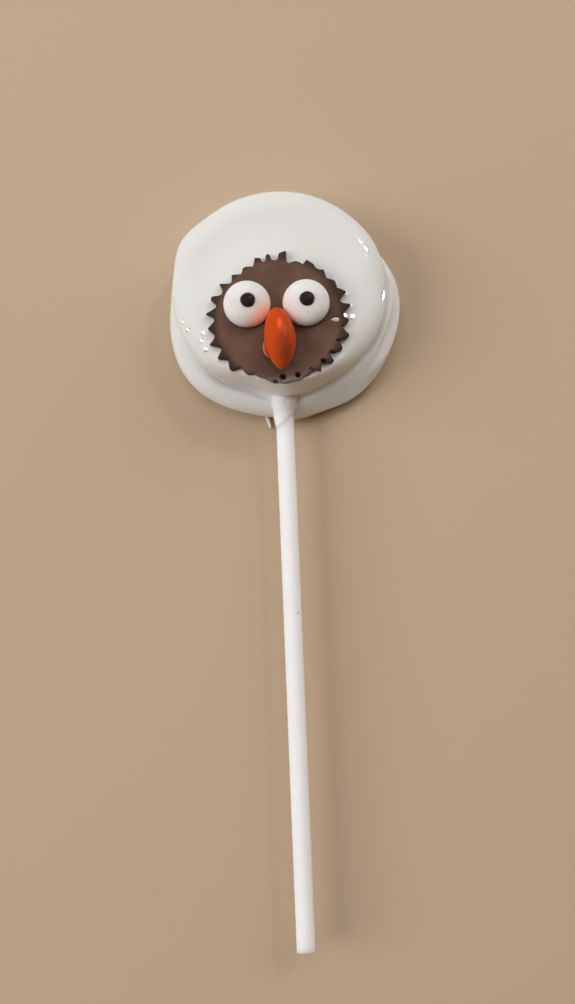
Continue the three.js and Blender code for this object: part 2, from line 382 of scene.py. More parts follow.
class Paint:
    """A material that is being put together, with its patterns in millimetres."""

    def __init__(self, name: str) -> None:
        """Starts a material with one shader.

        Args:
            name: The material's name.
        """
        self.material = bpy.data.materials.new(name)
        self.material.use_nodes = True
        self.tree = self.material.node_tree
        self.shader = self.tree.nodes["Principled BSDF"]

    def set(self, **sockets: float | Colour) -> None:
        """Sets plain values on the shader's own sockets.

        Args:
            sockets: The values, each named after its socket with _ for a space.
        """
        for name, value in sockets.items():
            socket = self.shader.inputs[name.replace("_", " ").title().replace("Ior", "IOR")]
            socket.default_value = (*value, 1) if socket.type == "RGBA" else value

    def drive(self, socket: str, source: Socket) -> None:
        """Lets a pattern drive one of the shader's sockets."""
        self.tree.links.new(source, self.shader.inputs[socket])

    def node(self, kind: str, **settings: object) -> bpy.types.Node:
        """Adds a node.

        Args:
            kind: The node's type.
            settings: Its properties.

        Returns:
            The node.
        """
        node = self.tree.nodes.new(kind)
        for name, value in settings.items():
            setattr(node, name, value)
        return node

    def feed(self, node: bpy.types.Node, values: dict[str | int, object]) -> None:
        """Gives a node's sockets plain values or other nodes' outputs.

        Args:
            node: The node.
            values: What each socket gets, by the socket's name or number.
        """
        for socket, value in values.items():
            if isinstance(value, Socket):
                self.tree.links.new(value, node.inputs[socket])
            else:
                node.inputs[socket].default_value = value

    def place(self, offset: Spot = (0, 0, 0), stretch: Spot = (1, 1, 1)) -> Socket:
        """Gives the place on the piece in millimetres.

        Args:
            offset: The point that becomes the pattern's middle.
            stretch: How much each direction counts. Less than 1 draws a pattern out.

        Returns:
            The vector output.
        """
        mapping = self.node("ShaderNodeMapping")
        values = {
            "Vector": self.node("ShaderNodeTexCoord").outputs["Object"],
            "Scale": [share / METRES for share in stretch],
            "Location": [-start * share for start, share in zip(offset, stretch)],
        }
        self.feed(mapping, values)
        return mapping.outputs["Vector"]

    def axes(self, offset: Spot = (0, 0, 0)) -> bpy.types.NodeOutputs:
        """Gives the place's X, Y and Z apart.

        Args:
            offset: The point that they are measured from.

        Returns:
            The outputs, by their names.
        """
        split = self.node("ShaderNodeSeparateXYZ")
        self.feed(split, {"Vector": self.place(offset)})
        return split.outputs

    def distance(self, start: Spot, stretch: Spot = (1, 1, 1)) -> Socket:
        """Gives the distance from a point.

        Args:
            start: The point.
            stretch: How much each direction counts.

        Returns:
            The value output.
        """
        length = self.node("ShaderNodeVectorMath", operation="LENGTH")
        self.feed(length, {0: self.place(start, stretch)})
        return length.outputs["Value"]

    def noise(self, grain: Grain) -> Socket:
        """Gives a grain's plain noise from 0 to 1.

        Args:
            grain: The grain.

        Returns:
            The value output.
        """
        texture = self.node("ShaderNodeTexNoise")
        where = self.place(stretch=grain.stretch)
        self.feed(texture, {"Vector": where, "Scale": 1 / grain.size, "Detail": grain.detail})
        return texture.outputs["Fac"]

    def patches(self, grain: Grain, shares: Span = WHOLE) -> Socket:
        """Gives a grain that runs from one share to another between its limits."""
        return self.spread(self.noise(grain), grain.limits, shares)

    def spread(self, value: Socket, limits: Span, shares: Span = WHOLE) -> Socket:
        """Maps one range of a value softly onto another.

        Args:
            value: The value to map.
            limits: Its low and high end.
            shares: What they become.

        Returns:
            The value output.
        """
        node = self.node("ShaderNodeMapRange", interpolation_type="SMOOTHSTEP")
        ends = zip(("From Min", "From Max", "To Min", "To Max"), (*limits, *shares))
        self.feed(node, {"Value": value, **dict(ends)})
        return node.outputs["Result"]

    def blend(self, share: object, first: object, second: object) -> Socket:
        """Blends two colours, each plain or a pattern.

        Args:
            share: How much of the second colour shows.
            first: The first colour.
            second: The second colour.

        Returns:
            The colour output.
        """
        node = self.node("ShaderNodeMix", data_type="RGBA")
        colours = [colour if isinstance(colour, Socket) else (*colour, 1) for colour in (first, second)]
        sockets = [number for number, socket in enumerate(node.inputs) if socket.type == "RGBA"]
        self.feed(node, {"Factor": share, **dict(zip(sockets, colours))})
        return next(socket for socket in node.outputs if socket.type == "RGBA")

    def maths(self, operation: str, *values: object) -> Socket:
        """Works one or two values out, each plain or a pattern.

        Args:
            operation: The maths node's operation.
            values: The values.

        Returns:
            The value output.
        """
        node = self.node("ShaderNodeMath", operation=operation)
        self.feed(node, dict(enumerate(values)))
        return node.outputs[0]

    def finished(self, rough: Grain, roughness: Span, relief: Sequence[Grain]) -> bpy.types.Material:
        """Gives the surface its roughness and its fine relief.

        Args:
            rough: The grain that the roughness follows.
            roughness: The lowest and the highest roughness.
            relief: The grains that stand up, each with its height.

        Returns:
            The finished material.
        """
        self.drive("Roughness", self.patches(rough, roughness))
        before = None
        for grain in relief:
            bump = self.node("ShaderNodeBump")
            values = {"Strength": 1.0, "Distance": grain.height * METRES, "Height": self.noise(grain)}
            self.feed(bump, values if before is None else {**values, "Normal": before})
            before = bump.outputs["Normal"]
        self.drive("Normal", before)
        return self.material


@dataclass(frozen=True)
class CandyCoating:
    """White candy coating, set smooth and glossy, a little creamy where it is thick."""

    slot: Slot = Slot.COATING
    colour: Colour = (0.785, 0.785, 0.77)
    creamy: Colour = (0.785, 0.77, 0.735)
    drift: Grain = Grain(9.0, 1.0, (0.35, 0.7))
    thin: Colour = (0.88, 0.87, 0.86)
    thin_stretch: Span = (-24.0, -27.0)
    rough: Grain = Grain(2.6, 3.0)
    roughness: Span = (0.10, 0.14)
    relief: tuple[Grain, ...] = (Grain(2.4, height=0.006),)

    def material(self) -> bpy.types.Material:
        """Mixes the coating.

        Returns:
            The material.
        """
        paint = Paint("candy_coating")
        paint.set(subsurface_weight=0.35, subsurface_radius=(1.0, 0.85, 0.65), subsurface_scale=0.0012)
        paint.set(ior=1.46)
        white = paint.blend(paint.patches(self.drift), self.colour, self.creamy)
        on_stick = paint.spread(paint.axes()["Y"], self.thin_stretch)
        paint.drive("Base Color", paint.blend(on_stick, white, self.thin))
        return paint.finished(self.rough, self.roughness, self.relief)


@dataclass(frozen=True)
class MilkChocolate:
    """Moulded milk chocolate with a soft bloom, painted shade on its flutes and a film on its lower edge."""

    slot: Slot = Slot.CHOCOLATE
    colour: Colour = (0.117, 0.062, 0.041)
    bloom: Colour = (0.150, 0.079, 0.053)
    cloud: Grain = Grain(7.0, limits=(0.4, 0.65))
    # Painted shade: the flutes round the rim are darker, as where they turn away from the light.
    edge: Colour = (0.045, 0.026, 0.017)
    edge_shade_radius: Span = (12.4, 14.0)
    edge_shade_share: float = 0.9
    film: Colour = (0.24, 0.19, 0.16)
    film_radius: Span = (11.9, 13.6)
    film_top: Span = (-10.6, -12.8)
    film_side: Span = (7.5, 4.0)
    film_share: float = 0.85
    ragged: Grain = Grain(0.8, limits=WHOLE)
    ragged_by: Span = (-0.5, 0.5)
    rough: Grain = Grain(1.2, 4.0)
    roughness: Span = (0.42, 0.6)
    relief: tuple[Grain, ...] = (Grain(0.9, 3.0, height=0.035), Grain(0.22, height=0.012))

    def material(self) -> bpy.types.Material:
        """Mixes the chocolate.

        Returns:
            The material.
        """
        paint = Paint("milk_chocolate")
        paint.set(ior=1.45, specular_ior_level=0.35)
        centre = (*SLICE_CENTRE, 0)
        out = paint.distance(centre, (1, 1, 0))
        face = paint.blend(paint.patches(self.cloud), self.colour, self.bloom)
        # Painted shade on the flutes.
        rim = paint.blend(paint.spread(out, self.edge_shade_radius, (0.0, self.edge_shade_share)), face, self.edge)
        ragged = paint.maths("ADD", out, paint.patches(self.ragged, self.ragged_by))
        filmed = paint.spread(ragged, self.film_radius, (0.0, self.film_share))
        axes = paint.axes(centre)
        sides = ((axes["Y"], self.film_top), (paint.maths("ABSOLUTE", axes["X"]), self.film_side))
        for value, limits in sides:
            filmed = paint.maths("MULTIPLY", filmed, paint.spread(value, limits))
        paint.drive("Base Color", paint.blend(filmed, rim, self.film))
        return paint.finished(self.rough, self.roughness, self.relief)


@dataclass(frozen=True)
class PressedSugar:
    """White pressed candy with a fine sugary grain, with the beak's orange light painted on beside it as a
    painted reflection that also glows faintly.
    """

    slot: Slot = Slot.EYE
    colour: Colour = (0.81, 0.795, 0.785)
    warm: Colour = (0.77, 0.735, 0.71)
    mottle: Grain = Grain(1.1, 3.0, (0.45, 0.75))
    # Painted reflection: the beak's orange light painted onto the white near it, with a faint glow. A wider
    # painted warm bounce lies round it.
    painted_beak_reflection: Colour = (1.0, 0.32, 0.18)
    reflection_from: Spot = (-1.9, -8.0, 17.5)
    reflection_reach: Span = (5.2, 2.6)
    reflection_share: float = 0.78
    reflection_glow: float = 0.22
    painted_bounce: Colour = (0.88, 0.56, 0.43)
    bounce_reach: Span = (8.6, 4.0)
    bounce_share: float = 0.5
    rough: Grain = Grain(0.5)
    roughness: Span = (0.55, 0.7)
    relief: tuple[Grain, ...] = (Grain(0.8, 3.0, height=0.03), Grain(0.18, 1.0, height=0.008))

    def material(self) -> bpy.types.Material:
        """Mixes the candy.

        Returns:
            The material.
        """
        paint = Paint("pressed_sugar")
        paint.set(subsurface_weight=0.6, subsurface_radius=(1.0, 0.85, 0.7), subsurface_scale=0.002)
        paint.set(ior=1.45, emission_color=self.painted_beak_reflection)
        white = paint.blend(paint.patches(self.mottle), self.colour, self.warm)
        # The painted reflection and the painted bounce, both centred beside the beak. The reflection also
        # glows.
        away = paint.distance(self.reflection_from)
        painted_bounce = paint.spread(away, self.bounce_reach, (0.0, self.bounce_share))
        painted_beak_reflection = paint.spread(away, self.reflection_reach, (0.0, self.reflection_share))
        paint.drive("Base Color", paint.blend(painted_beak_reflection, paint.blend(painted_bounce, white, self.painted_bounce), self.painted_beak_reflection))
        paint.drive("Emission Strength", paint.maths("MULTIPLY", painted_beak_reflection, self.reflection_glow))
        return paint.finished(self.rough, self.roughness, self.relief)


@dataclass(frozen=True)
class BlackIcing:
    """Black icing, set with a soft sheen."""

    slot: Slot = Slot.ICING
    colour: Colour = (0.012, 0.010, 0.010)
    grey: Colour = (0.022, 0.019, 0.019)
    mottle: Grain = Grain(0.7)
    rough: Grain = Grain(0.6)
    roughness: Span = (0.32, 0.42)
    relief: tuple[Grain, ...] = (Grain(0.5, height=0.012),)

    def material(self) -> bpy.types.Material:
        """Mixes the icing.

        Returns:
            The material.
        """
        paint = Paint("black_icing")
        paint.set(ior=1.5)
        paint.drive("Base Color", paint.blend(paint.noise(self.mottle), self.colour, self.grey))
        return paint.finished(self.rough, self.roughness, self.relief)


@dataclass(frozen=True)
class SeedShell:
    """A thin shell of orange candy, with painted shade towards its lower right, a painted highlight near its
    top and a painted pale sheen low on its edges.

    Attributes:
        shaded: Where painted shade darkens it: an axis, two places along it and their shares.
    """

    slot: Slot = Slot.BEAK
    colour: Colour = (0.60, 0.068, 0.008)
    dark: Colour = (0.275, 0.040, 0.013)
    # Painted shade: darker downwards and to the right, easing off at the tip and at the right edge.
    shaded: tuple[tuple[str, Span, Span], ...] = (
        ("Y", (-6.0, -15.0), (0.2, 1.0)),
        ("Y", (-15.5, -17.6), (1.0, 0.6)),
        ("X", (-2.4, 0.2), (0.15, 1.0)),
        ("X", (0.8, 2.6), (1.0, 0.4)),
    )
    cloud: Grain = Grain(1.8)
    cloud_shares: Span = (0.7, 1.1)
    # Painted highlight: a lighter orange streak where a lamp's highlight falls near the top.
    painted_highlight: Colour = (1.0, 0.125, 0.02)
    highlight_at: Spot = (-0.35, -8.6, 20.6)
    highlight_stretch: Spot = (1.0, 0.4, 0.5)
    highlight_reach: Span = (0.85, 0.15)
    highlight_share: float = 0.8
    # Painted sheen: the low edges turn paler and greyer, as a glancing reflection would make them.
    foot: Colour = (0.40, 0.14, 0.10)
    foot_height: Span = (19.4, 17.6)
    foot_share: float = 0.75
    rough: Grain = Grain(0.9)
    roughness: Span = (0.30, 0.38)
    relief: tuple[Grain, ...] = (
        Grain(0.9, stretch=(1.0, 0.18, 1.0), height=0.05),
        Grain(0.5, height=0.015),
    )

    def material(self) -> bpy.types.Material:
        """Mixes the candy.

        Returns:
            The material.
        """
        paint = Paint("seed_shell")
        paint.set(ior=1.42, specular_tint=(1.0, 0.6, 0.42))
        axes = paint.axes()
        # Painted shade, broken up by a random cloud.
        shade = paint.patches(self.cloud, self.cloud_shares)
        for axis, limits, shares in self.shaded:
            shade = paint.maths("MULTIPLY", paint.spread(axes[axis], limits, shares), shade)
        shell = paint.blend(shade, self.colour, self.dark)
        # Painted highlight: a lighter streak near the top.
        away = paint.distance(self.highlight_at, self.highlight_stretch)
        highlight_mask = paint.spread(away, self.highlight_reach, (0.0, self.highlight_share))
        # Painted sheen: paler, greyer low edges.
        painted_sheen_mask = paint.spread(axes["Z"], self.foot_height, (0.0, self.foot_share))
        paint.drive("Base Color", paint.blend(painted_sheen_mask, paint.blend(highlight_mask, shell, self.painted_highlight), self.foot))
        return paint.finished(self.rough, self.roughness, self.relief)


@dataclass(frozen=True)
class RolledPaper:
    """White paper, rolled tight round and round, with fibres along it."""

    slot: Slot = Slot.PAPER
    colour: Colour = (0.98, 0.97, 0.96)
    grey: Colour = (0.95, 0.94, 0.93)
    grey_limits: Span = (0.42, 0.75)
    grey_share: float = 0.6
    worn: Colour = (0.25, 0.21, 0.19)
    scuffs: tuple[Spot, ...] = ((1.25, -69.2, 8.35), (1.85, -73.1, 7.5))
    scuff_reach: Span = (0.38, 0.1)
    scuff_share: float = 0.7
    fibres: Grain = Grain(0.5, 4.0, stretch=(1.0, 0.08, 1.0), height=0.02)
    roughness: Span = (0.6, 0.8)
    relief: tuple[Grain, ...] = (fibres, Grain(0.25, height=0.008))

    def material(self) -> bpy.types.Material:
        """Mixes the paper.

        Returns:
            The material.
        """
        paint = Paint("rolled_paper")
        paint.set(subsurface_weight=0.9, subsurface_radius=(1.0, 0.9, 0.8), subsurface_scale=0.006)
        paint.set(ior=1.45, specular_ior_level=0.35)
        flecks = paint.spread(paint.noise(self.fibres), self.grey_limits, (0.0, self.grey_share))
        sheet = paint.blend(flecks, self.colour, self.grey)
        for scuff in self.scuffs:
            worn = paint.spread(paint.distance(scuff), self.scuff_reach, (0.0, self.scuff_share))
            sheet = paint.blend(worn, sheet, self.worn)
        paint.drive("Base Color", sheet)
        return paint.finished(self.fibres, self.roughness, self.relief)


Finish = CandyCoating | MilkChocolate | PressedSugar | BlackIcing | SeedShell | RolledPaper


class Maker:
    """Turns finished shapes into pieces of the pop."""

    def __init__(self) -> None:
        """Starts with no materials made."""
        self.materials: dict[Finish, bpy.types.Material] = {}

    def piece(self, name: str, shape: Shape, finish: Finish, *nodes: str) -> bpy.types.Object:
        """Makes a piece that rides on the pop.

        Args:
            name: The piece's name.
            shape: Its shape in millimetres, which is used up.
            finish: What it is made of.
            nodes: The solids that it stands for.

        Returns:
            The new object.
        """
        bmesh.ops.scale(shape, vec=(METRES, METRES, METRES), verts=shape.verts[:])
        for face in shape.faces:
            face.smooth = True
        mesh = mesh_of(name, shape)
        if finish not in self.materials:
            self.materials[finish] = finish.material()
        mesh.materials.append(self.materials[finish])
        piece = in_scene(name, mesh)
        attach(piece, BODY)
        if nodes:
            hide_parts(*nodes)
        log.info("%s has %d faces", name, len(mesh.polygons))
        return piece


# The chocolate slice


@dataclass(frozen=True)
class Tooth:
    """One tooth of the slice's rim.

    Attributes:
        at: The angle of its tip.
        reach: The tip's distance from the slice's middle.
        valley: The same for the valley that comes after it.
        flat: The width of its blunt tip, in degrees.
        rising: How hollow its first flank is. At 1 it is straight, and below 1 it bulges.
        falling: How hollow its second flank is.
        slant: How much farther out the end of its blunt tip is than the middle.
    """

    at: float
    reach: float
    valley: float
    flat: float = 1.0
    rising: float = 1.3
    falling: float = 1.3
    slant: float = 0.0


@dataclass(frozen=True)
class Pit:
    """A pit in the slice's rim, where two flutes have run together."""

    at: float
    out: float
    radius: float
    depth: float
    widening: float = 1.0


RIM_TEETH = (
    Tooth(10.5, 15.9, 14.0, 1.0, 1.3, 3.0),
    Tooth(21.5, 15.8, 14.5, 1.0, 2.2, 0.9),
    Tooth(33, 14.9, 13.9, 2.0, 1.0, 1.0),
    Tooth(46.5, 14.8, 14.1, 1.0, 1.3, 3.0),
    Tooth(60, 14.6, 13.4, 7.5, 1.0, 5.0, 0.1),
    Tooth(70, 13.55, 12.8, 4.0, 1.0, 0.9),
    Tooth(84.5, 15.15, 13.25, 6.0, 5.0, 5.0, -0.35),
    Tooth(97, 14.75, 13.25, 3.0, 5.0, 4.0),
    Tooth(106, 14.5, 13.05, 4.5, 6.0, 1.7, 0.2),
    Tooth(120.5, 13.75, 12.95, 3.0, 1.0, 2.0),
    Tooth(133, 14.1, 13.1, 1.0, 1.0, 2.0),
    Tooth(145.5, 15.0, 13.5, 0.5, 1.3, 3.0),
    Tooth(159, 15.25, 13.75, 3.0, 1.8, 3.4),
    Tooth(172.5, 15.7, 13.8, 0.3, 1.3, 3.7),
    Tooth(184.5, 15.15, 14.0, 1.3, 1.2, 1.2),
    Tooth(197.5, 15.65, 13.7, 0.3, 1.9, 1.3),
    Tooth(210.5, 15.25, 13.8, 2.0, 1.8, 1.6),
    Tooth(224.5, 14.8, 13.0, 3.0, 1.0, 2.3),
    Tooth(238.5, 13.45, 12.6, 2.5, 1.2, 1.2),
    Tooth(250, 12.95, 13.0, 3.0, 1.0, 1.0),
    Tooth(262, 13.5, 13.5, 3.0, 1.0, 1.0),
    Tooth(275, 13.85, 13.6, 3.0, 1.0, 1.0),
    Tooth(287, 13.8, 13.4, 3.0, 1.0, 1.0),
    Tooth(297, 13.5, 13.1, 2.0, 1.0, 1.0),
    Tooth(307.5, 14.35, 13.3, 0.5, 1.5, 3.5),
    Tooth(320, 14.75, 13.0, 3.5, 1.0, 3.0),
    Tooth(333, 14.95, 14.1, 2.5, 0.7, 1.6),
    Tooth(345.5, 15.5, 13.6, 2.0, 1.4, 1.1),
    Tooth(358.5, 15.1, 14.0, 1.5, 0.6, 4.5),
)


@dataclass
class ChocolateSlice:
    """The slice of a fluted chocolate cup that makes the face."""

    centre: Vector = Vector((*SLICE_CENTRE, 0))
    teeth: tuple[Tooth, ...] = RIM_TEETH
    points_per_tooth: int = 20
    inner_radius: float = 12.3
    tip_radius: float = 15.1
    wider_across: float = 0.7
    shorter_low: float = 0.6
    bottom: float = 13.0
    top: float = FACE_HEIGHT
    taper: float = 0.955
    rim_drop: float = 0.5
    roll_width: float = 0.55
    border_width: float = 1.2
    tip_droop: float = 0.12
    droop_start: float = 1.0
    uneven: tuple[Ripple, ...] = (Ripple(0.07, 5.0), Ripple(0.025, 1.3, 7.0))
    pits: tuple[Pit, ...] = (
        Pit(272.7, 12.4, 0.56, 1.7, 1.25),
        Pit(287.2, 12.65, 0.6, 1.8),
        Pit(301.3, 12.75, 0.36, 0.5, 1.5),
        Pit(315.3, 13.1, 0.48, 1.5, 1.4),
        Pit(327.3, 13.6, 0.3, 1.0, 1.7),
        Pit(338.6, 13.5, 0.24, 0.7, 1.9),
        Pit(265.5, 13.4, 0.42, 1.2, 1.4),
        Pit(358.6, 12.2, 0.52, 1.2, 1.8),
    )
    pit_wall: Span = (1.15, 0.6)

    def __post_init__(self) -> None:
        """Notes where the valleys are, in degrees."""
        pairs = zip(self.teeth, (*self.teeth[1:], self.teeth[0]))
        self.valleys = [tooth.at + ((after.at - tooth.at) % 360) / 2 for tooth, after in pairs]
        self.start = self.valleys[-1] - 360

    def tip_outline(self, angle: float) -> float:
        """Returns the radius of the smooth outline round the tooth tips."""
        low = max(0.0, -math.sin(angle)) ** 2
        return self.tip_radius + self.wider_across * math.cos(2 * angle) - self.shorter_low * low

    def rim(self, angle: float) -> float:
        """Finds the toothed rim.

        Args:
            angle: The angle in radians.

        Returns:
            The rim's radius there.
        """
        turned = (math.degrees(angle) - self.start) % 360 + self.start
        index = min(bisect_left(self.valleys, turned), len(self.teeth) - 1)
        tooth = self.teeth[index]
        across = turned - tooth.at
        half = tooth.flat / 2
        if abs(across) <= half:
            return tooth.reach + tooth.slant * across / half
        if across < 0:
            width = tooth.at - half - (self.valleys[index - 1] if index else self.start)
            floor, tip, hollow = self.teeth[index - 1].valley, tooth.reach - tooth.slant, tooth.rising
        else:
            width = self.valleys[index] - tooth.at - half
            floor, tip, hollow = tooth.valley, tooth.reach + tooth.slant, tooth.falling
        return floor + (tip - floor) * max(0.0, 1 - (abs(across) - half) / width) ** hollow

    def face_edge(self, angle: float) -> float:
        """Returns the radius at which the flat face starts to roll off."""
        return max(self.inner_radius, self.rim(angle) - self.roll_width)

    def droop(self, angle: float) -> float:
        """Returns how far the rim hangs below the plain rim, which it does most at the tips."""
        return self.tip_droop * max(0.0, self.rim(angle) - self.inner_radius - self.droop_start)

    def sink(self, point: Vector) -> float:
        """Finds how deep the pits are.

        Args:
            point: The place on the face.

        Returns:
            The depth there.
        """
        depth = 0.0
        for pit in self.pits:
            middle = round_point(math.radians(pit.at), pit.out, 0, self.centre)
            away = math.hypot((point.x - middle.x) / pit.widening, point.y - middle.y) / pit.radius
            depth = max(depth, pit.depth * smooth_step(*self.pit_wall, away))
        return depth

    def face_point(self, angle: float, radius: float, height: float) -> Vector:
        """Places a point of the face, with its pits and its slight unevenness.

        Args:
            angle: The angle in radians.
            radius: The distance from the slice's middle.
            height: The height of the plain face there.

        Returns:
            The point.
        """
        point = round_point(angle, radius, height, self.centre)
        point.z += sum(ripple.at(point) for ripple in self.uneven) - self.sink(point)
        return point

    def build(self, maker: Maker) -> None:
        """Makes the slice.

        Args:
            maker: Makes the piece.
        """
        rim_top = self.top - self.rim_drop
        inner = self.inner_radius - self.border_width

        def underside(angle: float, progress: float) -> Vector:
            """Places the underside, from its middle out."""
            return round_point(angle, self.rim(angle) * self.taper * progress, self.bottom, self.centre)

        def side(angle: float, progress: float) -> Vector:
            """Places the fluted side, from its foot up."""
            height = mix(self.bottom, rim_top, progress) - self.droop(angle) * progress
            return round_point(angle, self.rim(angle) * mix(self.taper, 1, progress), height, self.centre)

        def roll(angle: float, progress: float) -> Vector:
            """Places the rounded edge.

            Args:
                angle: The angle round the slice.
                progress: The way from the side to the face.

            Returns:
                The point.
            """
            inward, upward = quarter(progress)
            radius = mix(self.face_edge(angle), self.rim(angle), inward)
            height = mix(rim_top, self.top, upward) - self.droop(angle) * (1 - progress)
            return self.face_point(angle, radius, height)

        def border(angle: float, progress: float) -> Vector:
            """Places the outer part of the face, from its edge inwards."""
            return self.face_point(angle, mix(self.face_edge(angle), inner, progress), self.top)

        def face(angle: float, progress: float) -> Vector:
            """Places the rest of the face, to its middle."""
            return self.face_point(angle, inner * (1 - progress), self.top)

        stages = [Stage(2, underside), Stage(10, side), Stage(7, roll), Stage(14, border), Stage(22, face)]
        shape = wrapped_skin(stages, len(self.teeth) * self.points_per_tooth)
        maker.piece("fluted_slice", shape, MilkChocolate(), "chocolate_slice")


# The coated cookie


@dataclass(frozen=True)
class Collar:
    """The sleeve of coating on the stick, from inside the cookie to its thin end."""

    start: float = -19.8
    end: float = -26.9
    radius: float = 2.56
    end_radius: float = 2.0
    runs_left: float = 1.4
    end_waver: float = 0.25
    wider_right: float = 1.35
    lumps: Ripple = Ripple(0.06, 1.1, 4.0)
    lump_radius: float = 2.0
    lump_length: float = 7.0
    lip_inset: float = 0.15
    lip_length: float = 0.3
    seam: float = 0.9

    def shape(self) -> Shape:
        """Wraps the sleeve.

        Returns:
            The closed sleeve.
        """

        def sleeve(angle: float, progress: float) -> Vector:
            """Places the sleeve, which is straight on its left and flares on its right.

            Args:
                angle: The angle round the stick.
                progress: The way from the cookie to the thin end.

            Returns:
                The point.
            """
            straight = (self.radius - self.end_radius) * (1 - progress**5)
            flare = self.radius + self.wider_right * max(0.0, math.cos(angle)) ** 2
            tapered = (flare - self.end_radius) * (1 - progress) ** 1.1
            across, up = self.lump_radius * math.cos(angle), self.lump_radius * math.sin(angle)
            lumps = self.lumps.at(Vector((across, self.lump_length * progress, up)))
            uneven = lumps * math.sin(math.pi * progress)
            end = self.end + self.runs_left * math.cos(angle) + self.end_waver * math.sin(2 * angle)
            width = self.end_radius + mix(straight, tapered, 0.5 + 0.5 * math.cos(angle)) + uneven
            return stick_point(angle, width, mix(self.start, end, progress))

        def inner_cap(angle: float, progress: float) -> Vector:
            """Places the hidden end inside the cookie."""
            return Vector((0, self.start, STICK_HEIGHT)).lerp(sleeve(angle, 0.0), progress)

        def lip(angle: float, progress: float) -> Vector:
            """Places the rounded lip of the thin end.

            Args:
                angle: The angle round the stick.
                progress: The way from the sleeve to the stick.

            Returns:
                The point.
            """
            sine = quarter(progress)[1]
            width = mix(self.end_radius, self.end_radius - self.lip_inset, sine**2)
            return stick_point(angle, width, sleeve(angle, 1.0).y - self.lip_length * sine)

        def outer_cap(angle: float, progress: float) -> Vector:
            """Places the end inside the stick."""
            return lip(angle, 1.0).lerp(Vector((0, self.end, STICK_HEIGHT)), progress)

        stages = [Stage(2, inner_cap), Stage(34, sleeve), Stage(5, lip), Stage(2, outer_cap)]
        return wrapped_skin(stages, segments=72)


@dataclass(frozen=True)
class Drip:
    """The thin drip that set at the foot, beside the stick."""

    root: Vector = Vector((-4.6, -23.3, 0.6))
    tip: Vector = Vector((-3.3, -27.4, 0.45))
    radius: float = 0.4
    bow: float = 0.12
    waist: float = 0.12
    flatness: float = 0.8
    seam: float = 0.4

    def shape(self) -> Shape:
        """Wraps the drip.

        Returns:
            The closed drip.
        """
        along = self.tip - self.root
        side = Vector((-along.y, along.x, 0)).normalized()

        def skin(angle: float, progress: float) -> Vector:
            """Places the drip's skin.

            Args:
                angle: The angle round the drip.
                progress: The way from its root to its tip.

            Returns:
                The point.
            """
            swelling = math.sqrt(max(0.0, 1 - progress**9)) * min(1.0, 5 * progress) ** 0.5
            width = self.radius * swelling * (1 + self.waist * math.sin(5 * progress))
            point = self.root + along * progress + side * (width * math.cos(angle))
            point += side * self.bow * math.sin(math.pi * progress)
            point.z += self.flatness * width * math.sin(angle)
            return point

        return wrapped_skin([Stage(30, skin)], segments=24)


@dataclass(frozen=True)
class Bead:
    """The bead of coating that shows in the slice's pit on the right."""

    depth: float = 0.55
    widths: Spot = (1.2, 1.0, 0.75)
    lumps: Ripple = Ripple(0.3, 0.8, 6.0)
    finish: CandyCoating = CandyCoating(colour=(0.78, 0.70, 0.64), creamy=(0.70, 0.57, 0.50))

    def shape(self, face: ChocolateSlice) -> Shape:
        """Rounds the bead.

        Args:
            face: The slice with the pit, which is its last.

        Returns:
            The closed bead.
        """
        pit = face.pits[-1]
        across, along, up = self.widths
        middle = round_point(math.radians(pit.at), pit.out, face.top - self.depth, face.centre)
        bead = bmesh.new()
        bmesh.ops.create_uvsphere(bead, u_segments=24, v_segments=14, radius=pit.radius)
        bmesh.ops.scale(bead, vec=(across * pit.widening, along, up), verts=bead.verts[:])
        for point in bead.verts:
            point.co *= 1 + self.lumps.at(point.co)
        bmesh.ops.translate(bead, vec=middle, verts=bead.verts[:])
        return bead


